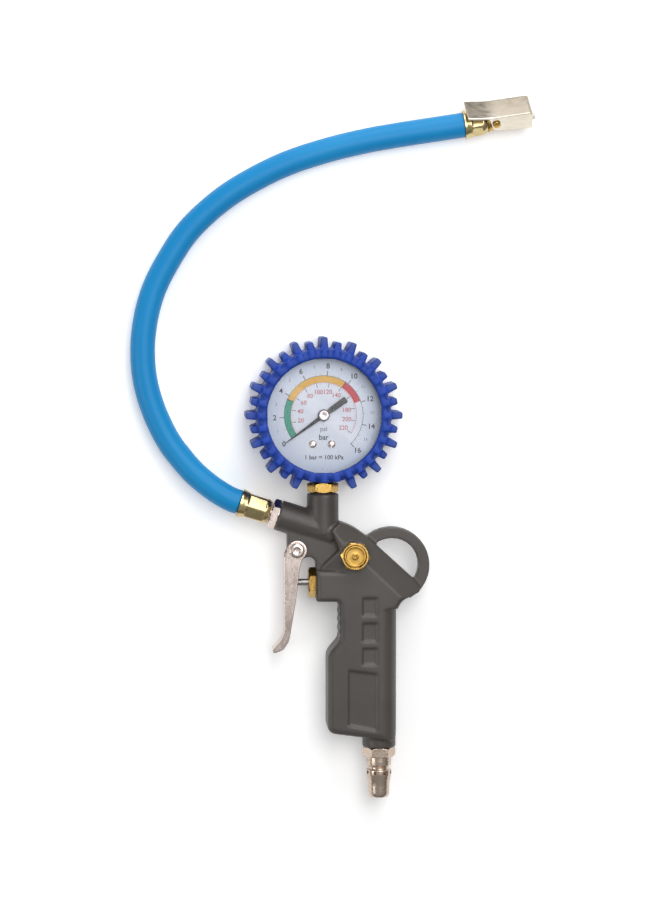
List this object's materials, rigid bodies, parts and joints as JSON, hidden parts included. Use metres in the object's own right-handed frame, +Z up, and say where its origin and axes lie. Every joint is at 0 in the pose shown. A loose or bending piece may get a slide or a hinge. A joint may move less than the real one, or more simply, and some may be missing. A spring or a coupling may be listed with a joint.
{
  "type": "tyre inflator",
  "caption": "Pistol tyre inflator lying on its side: squeeze trigger, dial gauge in a lugged rubber boot, bleed button, quick-connect plug and a short hose with a clip-on chuck.",
  "frame": {"origin": "on the surface the tool lies on, under the middle of the gun's own box (body, gauge, plug and hose fitting, without the hose and chuck)", "axes": "+Y from the inlet plug up through the gauge, +X from the trigger side to the back of the handle, +Z up out of the dial's face"},
  "size_m": [0.1941, 0.3378, 0.028],
  "materials": {
    "casting_paint": "satin warm grey paint over a die casting",
    "nickel": "bright nickel plate",
    "brass": "machined brass",
    "yellow_zinc": "yellow zinc plated steel",
    "steel": "bare steel",
    "black_rubber": "black sealing rubber",
    "boot_rubber": "soft blue rubber",
    "hose_rubber": "smooth satin blue hose",
    "dial_paint": "cool white enamel with printed scales",
    "black_paint": "satin black",
    "lens_glass": "clear flat glass",
    "pale_nylon": "pale nylon"
  },
  "bodies": {
    "gun": {"body_casting": "casting_paint", "trigger_rivet": "nickel", "hose_tail": "nickel", "inlet_plug": "nickel", "gauge_bezel": "nickel", "valve_gland": "brass", "valve_seat": "brass", "bleed_housing": "brass", "gauge_socket": "brass", "chuck_body": "brass", "chuck_pin": "brass", "bourdon_tube": "brass", "tube_tip": "brass", "movement_back_plate": "brass", "movement_front_plate": "brass", "pillar_top": "brass", "pillar_left": "brass", "pillar_right": "brass", "hairspring": "brass", "gun_ferrule": "yellow_zinc", "chuck_ferrule": "yellow_zinc", "valve_spring": "steel", "bleed_spring": "steel", "dial_screw_left": "steel", "dial_screw_right": "steel", "movement_screw_left": "steel", "movement_screw_right": "steel", "case_screw_left": "steel", "case_screw_right": "steel", "chuck_spring": "steel", "stem_seal": "black_rubber", "lens_gasket": "black_rubber", "gauge_washer": "black_rubber", "inlet_seal": "black_rubber", "chuck_seal": "black_rubber", "gauge_boot": "boot_rubber", "hose": "hose_rubber", "gauge_dial": "dial_paint", "gauge_case": "black_paint", "gauge_lens": "lens_glass", "valve_depressor": "pale_nylon"},
    "trigger": {"trigger": "nickel"},
    "valve": {"valve_stem": "steel", "poppet_seal": "black_rubber"},
    "bleed": {"bleed_button": "brass", "bleed_seal": "black_rubber"},
    "pointer": {"pinion": "brass", "pointer": "black_paint", "pointer_cap": "nickel"},
    "sector": {"sector_gear": "brass"},
    "link": {"tube_link": "brass"},
    "clip": {"chuck_lever": "nickel"}
  },
  "joints": [
    {"name": "trigger_pull", "type": "hinge", "parent": "gun", "child": "trigger", "pos_m": [-0.01736, 0.00896, 0.011], "axis": [0, 0, 1], "range_deg": [0, 11], "stiffness_Nm_per_rad": 0.4, "springref_deg": -5.73},
    {"name": "valve_slide", "type": "slide", "parent": "gun", "child": "valve", "axis": [1, 0, 0], "range_m": [0, 0.0031], "deforming": ["valve_spring"]},
    {"name": "bleed_press", "type": "slide", "parent": "gun", "child": "bleed", "axis": [0, 0, -1], "range_m": [0, 0.0015], "stiffness_N_per_m": 3000, "springref_m": -0.0005, "deforming": ["bleed_spring"]},
    {"name": "pointer_turn", "type": "hinge", "parent": "gun", "child": "pointer", "pos_m": [-0.00466, 0.07386, 0.016], "axis": [0, 0, 1], "range_deg": [-262, 0], "stiffness_Nm_per_rad": 0.0002, "springref_deg": 17.19},
    {"name": "sector_turn", "type": "hinge", "parent": "gun", "child": "sector", "pos_m": [-0.00466, 0.05976, 0.0144], "axis": [0, 0, 1], "range_deg": [0, 44]},
    {"name": "link_turn", "type": "hinge", "parent": "sector", "child": "link", "pos_m": [-0.00183, 0.05694, 0.0136], "axis": [0, 0, 1], "range_deg": [-44, 0]},
    {"name": "clip_swing", "type": "hinge", "parent": "gun", "child": "clip", "pos_m": [0.07773, 0.2169, 0.00966], "axis": [0.1132, -0.7576, 0.6428], "range_deg": [0, 8], "stiffness_Nm_per_rad": 0.3, "springref_deg": -5.73, "deforming": ["chuck_spring"]}
  ],
  "couplings": [
    {"joint": "valve_slide", "follows": "trigger_pull", "m_per_rad": 0.0156},
    {"joint": "sector_turn", "follows": "pointer_turn", "ratio": -0.16667},
    {"joint": "link_turn", "follows": "pointer_turn", "ratio": 0.16667}
  ]
}
